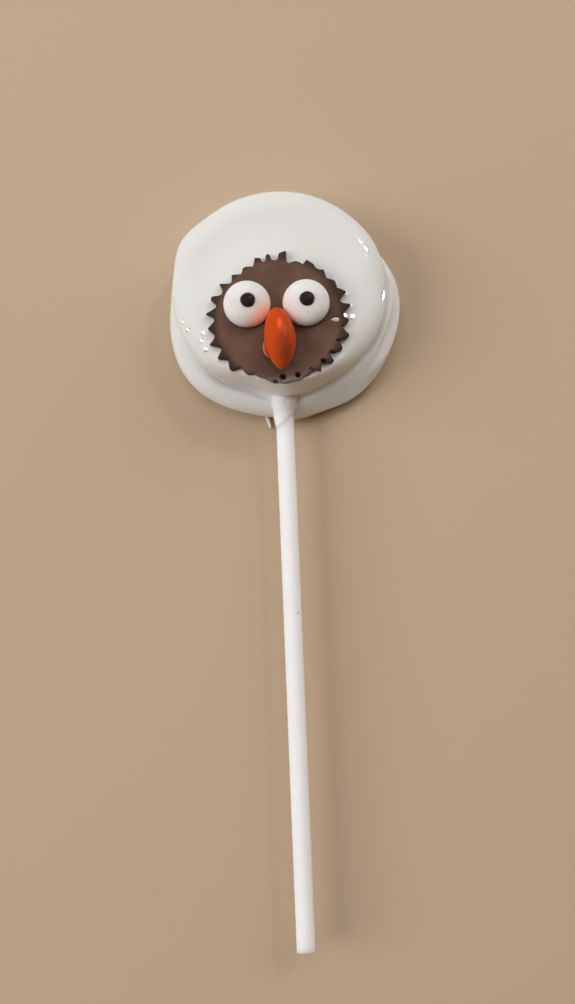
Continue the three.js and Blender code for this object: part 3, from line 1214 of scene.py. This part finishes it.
@dataclass
class CoatedCookie:
    """The cookie in its coating: two tiers with a groove between them, and what ran off.

    Attributes:
        face: The slice that lies on it.
        facing: Gives the way a spot faces if it shows the small lamp to the camera.
    """

    face: ChocolateSlice
    facing: Callable[[Vector], Vector]
    runs: tuple[Collar | Drip, ...] = (Collar(), Drip())
    bead: Bead = Bead()
    lower: Outline = Outline(
        26.2,
        (
            *(Swell(2, 19, 1.2), Swell(32, 14, -0.9), Swell(176, 21, -1.1), Swell(214, 23, 0.8)),
            *(Swell(255, 16, -0.8), Swell(322, 22, 0.8), Swell(289, 9, -0.45), Swell(264, 5, -0.25)),
        ),
    )
    lower_height: float = 3.3
    undercut: float = 1.8
    groove: Outline = Outline(
        23.4,
        (
            *(Swell(5, 30, 0.5), Swell(27, 18, 0.6), Swell(290, 50, -1.9), Swell(235, 28, -0.55)),
            *(Swell(342, 17, -0.55), Swell(208, 34, -0.45), Swell(250, 16, -1.25), Swell(270, 11, 0.65)),
        ),
    )
    groove_height: float = 7.3
    heap: Swell = Swell(305, 17, 1.6)
    valley: Outline = Outline(0.8, (Swell(202, 20, -1.5), Swell(246, 22, 1.0), Swell(300, 35, -0.4)))
    valley_reach: float = 1.7
    upper: Outline = Outline(
        24.15,
        (
            *(Swell(147, 14, 1.2), Swell(200, 28, -0.7), Swell(292, 60, -2.2), Swell(27, 14, 0.3)),
            *(Swell(3, 12, -0.35), Swell(245, 35, -1.0), Swell(250, 18, -1.5), Swell(270, 11, 0.65)),
            Swell(303, 22, -0.45),
        ),
    )
    upper_height: float = 10.4
    top_height: float = 13.5
    shoulder: float = 5.5
    shoulder_gap: float = 0.05
    steep: Swell = Swell(272, 26, 0.8)
    slump: tuple[Swell, ...] = (Swell(293, 17, 0.85), Swell(313, 11, 0.6))
    fold: Swell = Swell(342, 15, 0.9)
    fold_ridges: tuple[Swell, ...] = (Swell(50, 10, 1.2), Swell(72, 9, -0.8), Swell(28, 10, -0.7))
    plateau: Outline = Outline(
        0.7, (Swell(95, 45, 0.55), Swell(283, 28, 0.75), Swell(35, 28, -0.4), Swell(222, 24, 0.45))
    )
    plateau_reach: float = 4.5
    creep: float = 0.15
    creep_reach: float = 0.4
    filling: float = 0.15
    filling_reach: Span = (1.8, -0.9)
    brim: Outline = Outline(0.25, (Swell(275, 30, -0.6), Swell(248, 16, -1.0)))
    brim_rounds: int = 8
    below_slice: float = -0.4
    below_reach: Span = (0.1, 0.9)
    hidden_inset: float = 1.0
    hills: Ripple = Ripple(0.1, 11.0, 3.0)
    dents: tuple[Dent, ...] = (
        Dent(11.5, 6.0, 3.6, 0.12),
        Dent(15.5, 0.5, 3.2, 0.1),
        Dent(-14.5, 2.5, 4.5, 0.08),
        Dent(0.5, 14.5, 6.0, -0.1),
    )
    waves: Ripple = Ripple(0.16, 7.5, 11.0)
    wave_length: float = 0.5
    wave_heights: Span = (0.0, 2.5)
    wave_radii: Span = (16.0, 20.0)
    softened: float = 2.8
    softened_width: float = 4.0
    softened_rounds: int = 16
    flecks: tuple[Fleck, ...] = (
        Fleck(13.8, -5.7, 0.65, 0.85, 20),
        Fleck(15.4, -6.0, 0.8, 0.8),
        Fleck(-16.8, -8.3, 0.75, 0.75),
        Fleck(-17.3, -10.0, 0.7, 0.6),
        Fleck(-16.3, -11.9, 0.85, 0.6),
        Fleck(-20.1, -7.2, 0.8, 0.55),
        Fleck(-21.3, -5.2, 0.4, 0.5),
        Fleck(19.04, 9.32, 1.3, 0.6, -55),
        Fleck(22.7, -0.7, 1.9, 0.55, 76),
    )
    fleck_rise: float = 0.08
    seam_rounds: int = 14
    segments: int = 420
    rim_steps: int = 60

    def __post_init__(self) -> None:
        """Plots the slice's outline, for the distance to its teeth."""
        count = len(self.face.teeth) * self.rim_steps
        self.rim_points = KDTree(count)
        for index in range(count):
            angle = math.tau * index / count
            self.rim_points.insert(round_point(angle, self.face.rim(angle), 0, self.face.centre), index)
        self.rim_points.balance()

    def lift(self, point: Vector) -> float:
        """Finds how far the slice has pushed the coating up.

        Args:
            point: The point on the plain top.

        Returns:
            The height, which is negative below the slice.
        """
        flat = Vector((point.x, point.y, 0))
        across = flat - self.face.centre
        angle = bearing(across)
        away = self.rim_points.find(flat)[2]
        beyond = across.length - self.face.tip_outline(angle)
        plateau = self.plateau.at(angle) * math.exp(-((max(0.0, beyond) / self.plateau_reach) ** 2))
        plateau += self.filling * smooth_step(*self.filling_reach, beyond)
        if across.length > self.face.rim(angle):
            return plateau + self.creep * math.exp(-away / self.creep_reach)
        return mix(plateau + self.creep, self.below_slice, smooth_step(*self.below_reach, away))

    def on_face(self, point: Vector, share: float) -> Vector:
        """Gives a point of the top its dents, its hills and the creep at the slice.

        Args:
            point: The point on the plain top.
            share: How much of them it gets.

        Returns:
            The moved point.
        """
        lift = self.lift(point) + self.hills.at(point)
        lift -= sum(dent.value(point) for dent in self.dents)
        return point + Vector((0, 0, lift * share))

    def brim_point(self, angle: float) -> Vector:
        """Finds the point of the brim round the slice that lies at an angle from the middle.

        Args:
            angle: The angle in radians, as seen from the cookie's middle.

        Returns:
            The point.
        """
        reach, brim = self.face.tip_radius, self.brim.at(angle)
        for _ in range(self.brim_rounds):
            across = round_point(angle, reach, 0) - self.face.centre
            reach -= across.length - self.face.tip_outline(bearing(across)) - brim
        return round_point(angle, reach, self.top_height)

    def inner_point(self, way: Vector, radius: float) -> Vector:
        """Returns the point of the top that lies a way and a distance from the slice's middle."""
        return self.on_face(round_point(bearing(way), radius, self.top_height, self.face.centre), 1.0)

    def shoulder_width(self, angle: float) -> float:
        """Returns the width of the rounded edge, which is tight where the slice leaves no room."""
        room = self.upper.at(angle) - self.brim_point(angle).xy.length
        return room * self.shoulder / (room**4 + self.shoulder**4) ** 0.25 - self.shoulder_gap

    def body(self) -> Shape:
        """Wraps the coated cookie, from its underside up and inwards to below the slice.

        Returns:
            The closed skin.
        """
        lower, groove, upper = self.lower, self.groove, self.upper
        inner = self.face.inner_radius - self.hidden_inset

        def underside(angle: float, progress: float) -> Vector:
            """Places the flat underside, from its middle out."""
            return round_point(angle, (lower.at(angle) - self.undercut) * progress, 0)

        def belly(angle: float, progress: float) -> Vector:
            """Places the lower tier's foot.

            Args:
                angle: The angle round the cookie.
                progress: The way from the underside to the widest place.

            Returns:
                The point.
            """
            outward, downward = quarter(1 - progress)
            radius = lower.at(angle) - self.undercut * (1 - outward)
            return round_point(angle, radius, self.lower_height * (1 - downward))

        def crest(angle: float) -> float:
            """Returns the height of the groove's lower edge."""
            return self.groove_height + self.heap.value(angle)

        def lower_top(angle: float, progress: float) -> Vector:
            """Places the lower tier's top, with its slump at the stick and its fold on the right.

            Args:
                angle: The angle round the cookie.
                progress: The way from the widest place to the groove.

            Returns:
                The point.
            """
            turn = QUARTER_TURN * progress
            slump = min(1.0, sum(swell.value(angle) for swell in self.slump))
            out = -self.fold.value(angle) * sum(ridge.value(turn) for ridge in self.fold_ridges)
            outward = mix(math.cos(turn), 1 - progress, slump)
            upward = mix(math.sin(turn), progress, slump)
            radius = mix(groove.at(angle), lower.at(angle), outward) + out * math.cos(turn)
            height = mix(self.lower_height, crest(angle), upward) + out * math.sin(turn)
            height -= self.valley.at(angle) * smooth_step(self.valley_reach, 0, radius - groove.at(angle))
            return round_point(angle, radius, height)

        def upper_underside(angle: float, progress: float) -> Vector:
            """Places the upper tier's overhang.

            Args:
                angle: The angle round the cookie.
                progress: The way from the groove to the upper tier's widest place.

            Returns:
                The point.
            """
            below, outward = quarter(progress)
            radius = mix(groove.at(angle), upper.at(angle), outward)
            bottom = crest(angle) - self.valley.at(angle)
            return round_point(angle, radius, mix(bottom, self.upper_height, 1 - below))

        def rounded_edge(angle: float, progress: float) -> Vector:
            """Places the shoulder, which is steeper over the stick.

            Args:
                angle: The angle round the cookie.
                progress: The way from the upper tier's widest place to the top.

            Returns:
                The point.
            """
            cosine, sine = quarter(progress)
            steep = self.steep.value(angle)
            radius = upper.at(angle) - self.shoulder_width(angle) * mix(1 - cosine, progress, steep)
            height = mix(self.upper_height, self.top_height, mix(sine, progress, steep))
            return self.on_face(round_point(angle, radius, height), sine**3)

        def top(angle: float, progress: float) -> Vector:
            """Places the top, from the shoulder to the brim round the slice."""
            start = round_point(angle, upper.at(angle) - self.shoulder_width(angle), self.top_height)
            return self.on_face(start.lerp(self.brim_point(angle), progress), 1.0)

        def between_teeth(angle: float, progress: float) -> Vector:
            """Places the strip that shows between the teeth, from the brim inwards."""
            way = self.brim_point(angle) - self.face.centre
            return self.inner_point(way, mix(way.xy.length, inner, progress))

        def under_slice(angle: float, progress: float) -> Vector:
            """Places the rest of the top, which the slice hides."""
            return self.inner_point(self.brim_point(angle) - self.face.centre, inner * (1 - progress))

        stages = [
            Stage(8, underside),
            Stage(14, belly),
            Stage(30, lower_top),
            Stage(14, upper_underside),
            Stage(20, rounded_edge),
            Stage(32, top),
            Stage(26, between_teeth),
            Stage(5, under_slice),
        ]
        skin = wrapped_skin(stages, self.segments)
        self.add_waves(skin)
        self.soften_groove(skin)
        self.add_flecks(skin)
        return skin

    def add_waves(self, skin: Shape) -> None:
        """Gives the walls the long, low waves of a coating that ran before it set.

        Args:
            skin: The coated cookie's skin.
        """
        moves = []
        for point in skin.verts:
            x, y, z = point.co
            above_foot = smooth_step(*self.wave_heights, z)
            outside = smooth_step(*self.wave_radii, point.co.xy.length)
            wave = self.waves.at(Vector((x, y, z * self.wave_length)))
            moves.append(point.normal * (wave * above_foot * outside))
        for point, move in zip(skin.verts, moves):
            point.co += move
        skin.normal_update()

    def soften_groove(self, skin: Shape) -> None:
        """Rounds the bottom of the groove, where coating has gathered.

        Args:
            skin: The coated cookie's skin.
        """
        inside = self.groove.radius - self.softened_width
        bottom = self.groove_height - self.valley.radius / 2
        walls = [point for point in skin.verts if point.co.xy.length > inside]
        near = [point for point in walls if abs(point.co.z - bottom) < self.softened]
        smooth(skin, near, self.softened_rounds)

    def add_flecks(self, skin: Shape) -> None:
        """Turns the flecks towards the small lamp's reflection.

        Args:
            skin: The coated cookie's skin.
        """
        edges = {edge for near in self.inside_flecks(skin) for point, _ in near for edge in point.link_edges}
        bmesh.ops.subdivide_edges(skin, edges=list(edges), cuts=2, use_grid_fill=True)
        for near in self.inside_flecks(skin):
            whole = sum(share for _, share in near)
            middle = sum((point.co * share for point, share in near), Vector()) / whole
            facing = self.facing(middle)
            for point, share in near:
                away = point.co - middle
                level = middle.z + self.fleck_rise - (facing.x * away.x + facing.y * away.y) / facing.z
                point.co.z = mix(point.co.z, level, share)
        skin.normal_update()

    def inside_flecks(self, skin: Shape) -> list[list[tuple[bmesh.types.BMVert, float]]]:
        """Finds the points of each fleck.

        Args:
            skin: The coated cookie's skin.

        Returns:
            For each fleck its points, with how much each belongs to it.
        """
        high = [point for point in skin.verts if point.co.z > self.upper_height - 1]
        found = []
        for fleck in self.flecks:
            shares = [(point, fleck.share(point.co)) for point in high]
            found.append([(point, share) for point, share in shares if share > 0])
        return found

    def coating(self) -> Shape:
        """Joins what ran off the cookie to its body, and rounds the corners between them.

        Returns:
            One closed skin.
        """
        body, shapes = self.body(), [run.shape() for run in self.runs]
        wall = BVHTree.FromBMesh(body)
        trees = [BVHTree.FromBMesh(shape) for shape in shapes]
        skin = joined([body, *shapes])
        for tree, run in zip(trees, self.runs):
            beside = [point for point in skin.verts if tree.find_nearest(point.co, run.seam)[0]]
            corner = [point for point in beside if wall.find_nearest(point.co, run.seam)[0]]
            smooth(skin, corner, self.seam_rounds)
        return skin

    def build(self, maker: Maker) -> None:
        """Makes the coating's pieces."""
        maker.piece("coating", self.coating(), CandyCoating(), "coated_cookie")
        maker.piece("coating_bead", self.bead.shape(self.face), self.bead.finish)


# The eyes


@dataclass
class CandyEye:
    """A domed candy eye with a raised drop of icing for its pupil."""

    side: Side
    x: float
    y: float
    pupil_x: float
    pupil_y: float
    radius: float = 5.0
    foot_radius: float = 4.6
    belly: float = 1.0
    height: float = 3.9
    uneven_height: float = 0.05
    uneven_size: float = 2.4
    pupil_radius: float = 1.6
    pupil_height: float = 0.75
    pupil_root: float = 0.35
    sunk: float = 0.12

    def dome(self) -> Shape:
        """Wraps the white dome.

        Returns:
            The closed dome.
        """
        centre = Vector((self.x, self.y, 0))
        uneven = Ripple(self.uneven_height, self.uneven_size, self.x)

        def underside(angle: float, progress: float) -> Vector:
            """Places the underside, which is sunk into the chocolate."""
            return round_point(angle, self.foot_radius * progress, FACE_HEIGHT - self.sunk, centre)

        def belly(angle: float, progress: float) -> Vector:
            """Places the side, from its foot to its widest place."""
            radius = mix(self.foot_radius, self.radius, quarter(progress)[1])
            return round_point(angle, radius, FACE_HEIGHT + mix(-self.sunk, self.belly, progress), centre)

        def crown(angle: float, progress: float) -> Vector:
            """Places the dome.

            Args:
                angle: The angle round the eye.
                progress: The way from the widest place to the middle.

            Returns:
                The point.
            """
            outward, upward = quarter(progress)
            height = FACE_HEIGHT + mix(self.belly, self.height, upward)
            point = round_point(angle, self.radius * outward, height, centre)
            point.z += uneven.at(point)
            return point

        return wrapped_skin([Stage(3, underside), Stage(6, belly), Stage(40, crown)], segments=96)

    def pupil(self) -> Shape:
        """Wraps the drop of icing.

        Returns:
            The closed drop.
        """
        centre = Vector((self.x + self.pupil_x, self.y + self.pupil_y, 0))
        low = FACE_HEIGHT + self.height - self.pupil_root
        top = FACE_HEIGHT + self.height + self.pupil_height

        def underside(angle: float, progress: float) -> Vector:
            """Places the underside, within the dome."""
            return round_point(angle, self.pupil_radius * progress, low, centre)

        def drop(angle: float, progress: float) -> Vector:
            """Places the drop.

            Args:
                angle: The angle round the drop.
                progress: The way from its edge to its top.

            Returns:
                The point.
            """
            outward, upward = quarter(progress)
            wobble = 1 + 0.015 * math.sin(3 * angle + self.x) + 0.01 * math.sin(5 * angle)
            radius = self.pupil_radius * wobble * outward**0.9
            return round_point(angle, radius, mix(low, top, upward), centre)

        return wrapped_skin([Stage(2, underside), Stage(24, drop)], segments=64)

    def build(self, maker: Maker) -> None:
        """Makes the eye and its pupil."""
        maker.piece(f"candy_eye_{self.side.value}", self.dome(), PressedSugar(), f"eye_{self.side.value}")
        maker.piece(f"icing_drop_{self.side.value}", self.pupil(), BlackIcing(), f"pupil_{self.side.value}")


# The beak


@dataclass
class SeedBeak:
    """A candy-coated seed, blunt above and pointed below, with a ridge on its left edge."""

    top: Vector = Vector((-0.98, -4.7, 0))
    tip: Vector = Vector((-0.05, -18.0, 0))
    width: float = 6.6
    thickness: float = 4.9
    sunk: float = 0.15
    bend: float = 1.7
    top_taper: float = 0.5
    tip_taper: float = 0.57
    bow: float = 0.2
    facets: float = 0.018
    facet_turn: float = 0.5
    uneven: Ripple = Ripple(0.07, 2.2, 5.0)
    ridge_line: tuple[Vector, ...] = (
        Vector((-3.4, -11.3, 17.9)),
        Vector((-4.0, -12.9, 17.9)),
        Vector((-3.8, -14.4, 17.8)),
        Vector((-2.65, -15.2, 17.7)),
    )
    ridge_radius: float = 0.36
    # The ridge's shell has the same painted shade, painted highlight and painted sheen as the seed.
    ridge_finish: SeedShell = SeedShell(
        colour=(0.66, 0.15, 0.07), dark=(0.5, 0.12, 0.06), foot=(0.5, 0.14, 0.08)
    )

    def share(self, along: float) -> float:
        """Returns the seed's half width at a place along it, as a share of the widest."""
        away = abs(2 * along - 1)
        return max(0.0, 1 - away**self.bend) ** (self.top_taper if along < 0.5 else self.tip_taper)

    def seed(self) -> Shape:
        """Wraps the seed.

        Returns:
            The closed seed.
        """
        line = self.tip - self.top
        across = Vector((-line.y, line.x, 0)).normalized()
        half = self.thickness / 2

        def skin(angle: float, progress: float) -> Vector:
            """Places the seed's skin.

            Args:
                angle: The angle round the seed.
                progress: The way from its blunt end to its point.

            Returns:
                The point.
            """
            along = 0.5 - 0.5 * math.cos(math.pi * progress)
            share = self.share(along)
            facets = 1 + self.facets * math.cos(4 * angle + self.facet_turn)
            point = self.top + line * along + across * (self.bow * math.sin(math.pi * along))
            point += across * (self.width / 2 * share * facets * math.cos(angle))
            point.z = FACE_HEIGHT - self.sunk + half + half * share * facets * math.sin(angle)
            point += Vector((0, 0, share * self.uneven.at(point)))
            return point

        return wrapped_skin([Stage(96, skin)], segments=80)

    def ridge(self) -> Shape:
        """Wraps the thin ridge of candy that was squeezed out along the left edge.

        Returns:
            The closed ridge.
        """

        def along(progress: float) -> Vector:
            """Finds a point on the ridge's line.

            Args:
                progress: The way along it.

            Returns:
                The point.
            """
            points = list(self.ridge_line)
            while len(points) > 1:
                points = [start.lerp(end, progress) for start, end in zip(points, points[1:])]
            return points[0]

        def skin(angle: float, progress: float) -> Vector:
            """Places the ridge's skin.

            Args:
                angle: The angle round the ridge.
                progress: The way along it.

            Returns:
                The point.
            """
            ahead = (along(progress + 0.01) - along(progress - 0.01)).normalized()
            side = ahead.cross(Vector((0, 0, 1))).normalized()
            width = self.ridge_radius * math.sin(math.pi * progress) ** 0.5
            up = side.cross(ahead)
            return along(progress) + (side * math.cos(angle) + up * math.sin(angle)) * width

        return wrapped_skin([Stage(30, skin)], segments=20)

    def build(self, maker: Maker) -> None:
        """Makes the beak's pieces."""
        maker.piece("orange_seed", self.seed(), SeedShell(), "beak")
        maker.piece("orange_ridge", self.ridge(), self.ridge_finish)


# The stick


@dataclass
class PaperStick:
    """A stick of tightly rolled paper, with the roll's seam along it."""

    radius: float = 1.985
    inner_end: float = 11.5
    length: float = 152.4
    rounding: float = 0.22
    seam_turn: float = 1.9
    seam_width: float = 0.09
    seam_depth: float = 0.05
    short_cut: float = 0.15
    slant: float = 0.65
    ragged: Ripple = Ripple(0.12, 0.9, 2.0)
    turns: float = 9.0
    turn_depth: float = 0.05
    uneven: Ripple = Ripple(0.015, 9.0)

    def at(self, angle: float, radius: float, y: float) -> Vector:
        """Places a point of the roll, with the seam's groove in it.

        Args:
            angle: The angle round the stick.
            radius: The plain distance from its axis.
            y: The place along it.

        Returns:
            The point.
        """
        away = math.remainder(angle - self.seam_turn, math.tau) / self.seam_width
        seam = self.seam_depth * math.exp(-(away**2))
        return stick_point(angle, radius - seam * (radius / self.radius) ** 4, y)

    def cut(self, angle: float, radius: float) -> float:
        """Finds the slanting, slightly ragged cut of the outer end.

        Args:
            angle: The angle round the stick.
            radius: The distance from its axis.

        Returns:
            The place of the cut along Y.
        """
        across, height = radius * math.cos(angle), radius * math.sin(angle)
        ragged = self.ragged.at(Vector((across, height, 0))) * radius
        return self.inner_end - self.length + self.short_cut + (self.slant * height + ragged) / self.radius

    def build(self, maker: Maker) -> None:
        """Makes the stick.

        Args:
            maker: Makes the piece.
        """
        flat = self.radius - self.rounding

        def outer_cap(angle: float, progress: float) -> Vector:
            """Places the cut end, in which the turns of paper show.

            Args:
                angle: The angle round the stick.
                progress: The way from its middle out.

            Returns:
                The point.
            """
            radius = flat * progress
            turns = self.turn_depth * math.sin(angle + self.turns * radius) * min(1.0, radius)
            return self.at(angle, radius, self.cut(angle, radius) + turns)

        def outer_rim(angle: float, progress: float) -> Vector:
            """Places the cut end's rounded edge.

            Args:
                angle: The angle round the stick.
                progress: The way from the cut to the shaft.

            Returns:
                The point.
            """
            cosine, sine = quarter(progress)
            radius = self.radius - self.rounding * (1 - sine)
            return self.at(angle, radius, self.cut(angle, radius) + self.rounding * (1 - cosine))

        def shaft(angle: float, progress: float) -> Vector:
            """Places the shaft, from the cut end inwards."""
            y = mix(self.cut(angle, self.radius) + self.rounding, self.inner_end - self.rounding, progress)
            return self.at(angle, self.radius + self.uneven.at(Vector((angle, y, 0))), y)

        def inner_rim(angle: float, progress: float) -> Vector:
            """Places the bevel of the end inside the cookie."""
            rounded = self.rounding * progress
            return self.at(angle, self.radius - rounded, self.inner_end - self.rounding + rounded)

        def inner_cap(angle: float, progress: float) -> Vector:
            """Places the end inside the cookie."""
            return self.at(angle, flat * (1 - progress), self.inner_end)

        stages = [
            Stage(14, outer_cap),
            Stage(5, outer_rim),
            Stage(150, shaft),
            Stage(1, inner_rim),
            Stage(1, inner_cap),
        ]
        maker.piece("paper_roll", wrapped_skin(stages, segments=64), RolledPaper(), "stick")


# The studio


@dataclass(frozen=True)
class Lamp:
    """A soft rectangular lamp that looks at the pop.

    Attributes:
        name: The lamp's name.
        azimuth: The direction it stands in, from +X towards +Y.
        elevation: How high it stands.
        distance: How far away, in metres.
        size: Its width in metres.
        power: Its power in watts.
        colour: The colour of its light.
        glints: Whether it shows in glossy surfaces.
    """

    name: str
    azimuth: float
    elevation: float
    distance: float
    size: float
    power: float
    colour: Colour = (1, 1, 1)
    glints: bool = True

    def place(self, target: Vector) -> Vector:
        """Returns where it hangs when it looks at a target, both in metres."""
        turn, rise = math.radians(self.azimuth), math.radians(self.elevation)
        return target + round_point(turn, math.cos(rise), math.sin(rise)) * self.distance

    def build(self, target: Vector) -> None:
        """Hangs the lamp.

        Args:
            target: The point that it looks at, in metres.
        """
        lamp = bpy.data.lights.new(self.name, "AREA")
        lamp.size = self.size
        lamp.energy = self.power
        lamp.color = self.colour
        holder = in_scene(self.name, lamp)
        holder.location = self.place(target)
        holder.rotation_euler = (holder.location - target).to_track_quat("Z", "Y").to_euler()
        holder.visible_glossy = self.glints


@dataclass
class Studio:
    """A plain pale floor, soft lamps and a camera that looks down as the photograph does."""

    floor_colour: Colour = (0.53, 0.40, 0.275)
    floor_size: float = 1.6
    sky: Colour = (1.0, 0.62, 0.30)
    sky_strength: float = 0.13
    target: Vector = Vector((0, -0.045, 0.008))
    lamps: tuple[Lamp, ...] = (
        Lamp("left", 178, 33, 1.2, 0.8, 10.6, (0.965, 1.0, 1.04), False),
        Lamp("right", 41, 28, 1.2, 0.9, 6.0, (0.97, 1.0, 1.03), False),
        Lamp("above", 97, 64, 1.3, 1.0, 5.5, (0.965, 1.0, 1.04), False),
        Lamp("sparkle", 52, 42, 1.2, 0.05, 1.0),
    )
    camera_place: Vector = Vector((-0.15, -58.31, 183.03))
    camera_tilt: float = 4.338
    camera_roll: float = -2.284
    focal_pixels: float = 800
    photo_height: int = 1004
    sensor: float = 36.0
    nearest: float = 0.01

    def mirror(self, point: Vector) -> Vector:
        """Returns the way a spot in millimetres faces if it shows the small lamp to the camera."""
        lamp = self.lamps[-1].place(self.target) / METRES
        return ((lamp - point).normalized() + (self.camera_place - point).normalized()).normalized()

    def floor(self) -> None:
        """Lays the floor."""
        shape = bmesh.new()
        bmesh.ops.create_grid(shape, x_segments=8, y_segments=8, size=self.floor_size / 2)
        floor = in_scene("floor", mesh_of("floor", shape))
        paint = Paint("pale_floor")
        paint.set(base_color=self.floor_colour, roughness=0.9, specular_ior_level=0.2)
        floor.data.materials.append(paint.material)

    def light(self) -> None:
        """Hangs the lamps and sets the soft light all round."""
        for lamp in self.lamps:
            lamp.build(self.target)
        world = bpy.data.worlds.new("soft_room")
        world.use_nodes = True
        background = world.node_tree.nodes["Background"]
        background.inputs["Color"].default_value = (*self.sky, 1)
        background.inputs["Strength"].default_value = self.sky_strength
        bpy.context.scene.world = world

    def camera(self) -> None:
        """Sets the camera up where the photograph was taken from."""
        tilt, roll = math.radians(self.camera_tilt), math.radians(self.camera_roll)
        ahead = Vector((0, math.sin(tilt), -math.cos(tilt)))
        level_up = Vector((0, math.cos(tilt), math.sin(tilt)))
        level_right = Vector((1, 0, 0))
        right = level_right * math.cos(roll) + level_up * math.sin(roll)
        up = level_up * math.cos(roll) - level_right * math.sin(roll)
        turn = Matrix((right, up, -ahead)).transposed().to_4x4()
        data = bpy.data.cameras.new("camera")
        data.sensor_width = self.sensor
        data.lens = self.sensor * self.focal_pixels / self.photo_height
        data.clip_start = self.nearest
        camera = in_scene("camera", data)
        camera.matrix_world = Matrix.Translation(self.camera_place * METRES) @ turn
        bpy.context.scene.camera = camera

    def build(self) -> None:
        """Sets the whole studio up."""
        bpy.context.scene.view_settings.view_transform = "Standard"
        self.camera()
        self.floor()
        self.light()


def main() -> None:
    """Builds the pop and its studio."""
    logging.basicConfig(level=logging.INFO, format="%(name)s: %(message)s")
    studio = Studio()
    studio.build()
    maker = Maker()
    face = ChocolateSlice()
    parts = (
        CoatedCookie(face, studio.mirror),
        face,
        CandyEye(Side.LEFT, -7.08, -3.3, 0.3, 0.0),
        CandyEye(Side.RIGHT, 5.48, -3.5, 0.14, -0.02),
        SeedBeak(),
        PaperStick(),
    )
    for part in parts:
        part.build(maker)


if __name__ == "__main__":
    main()
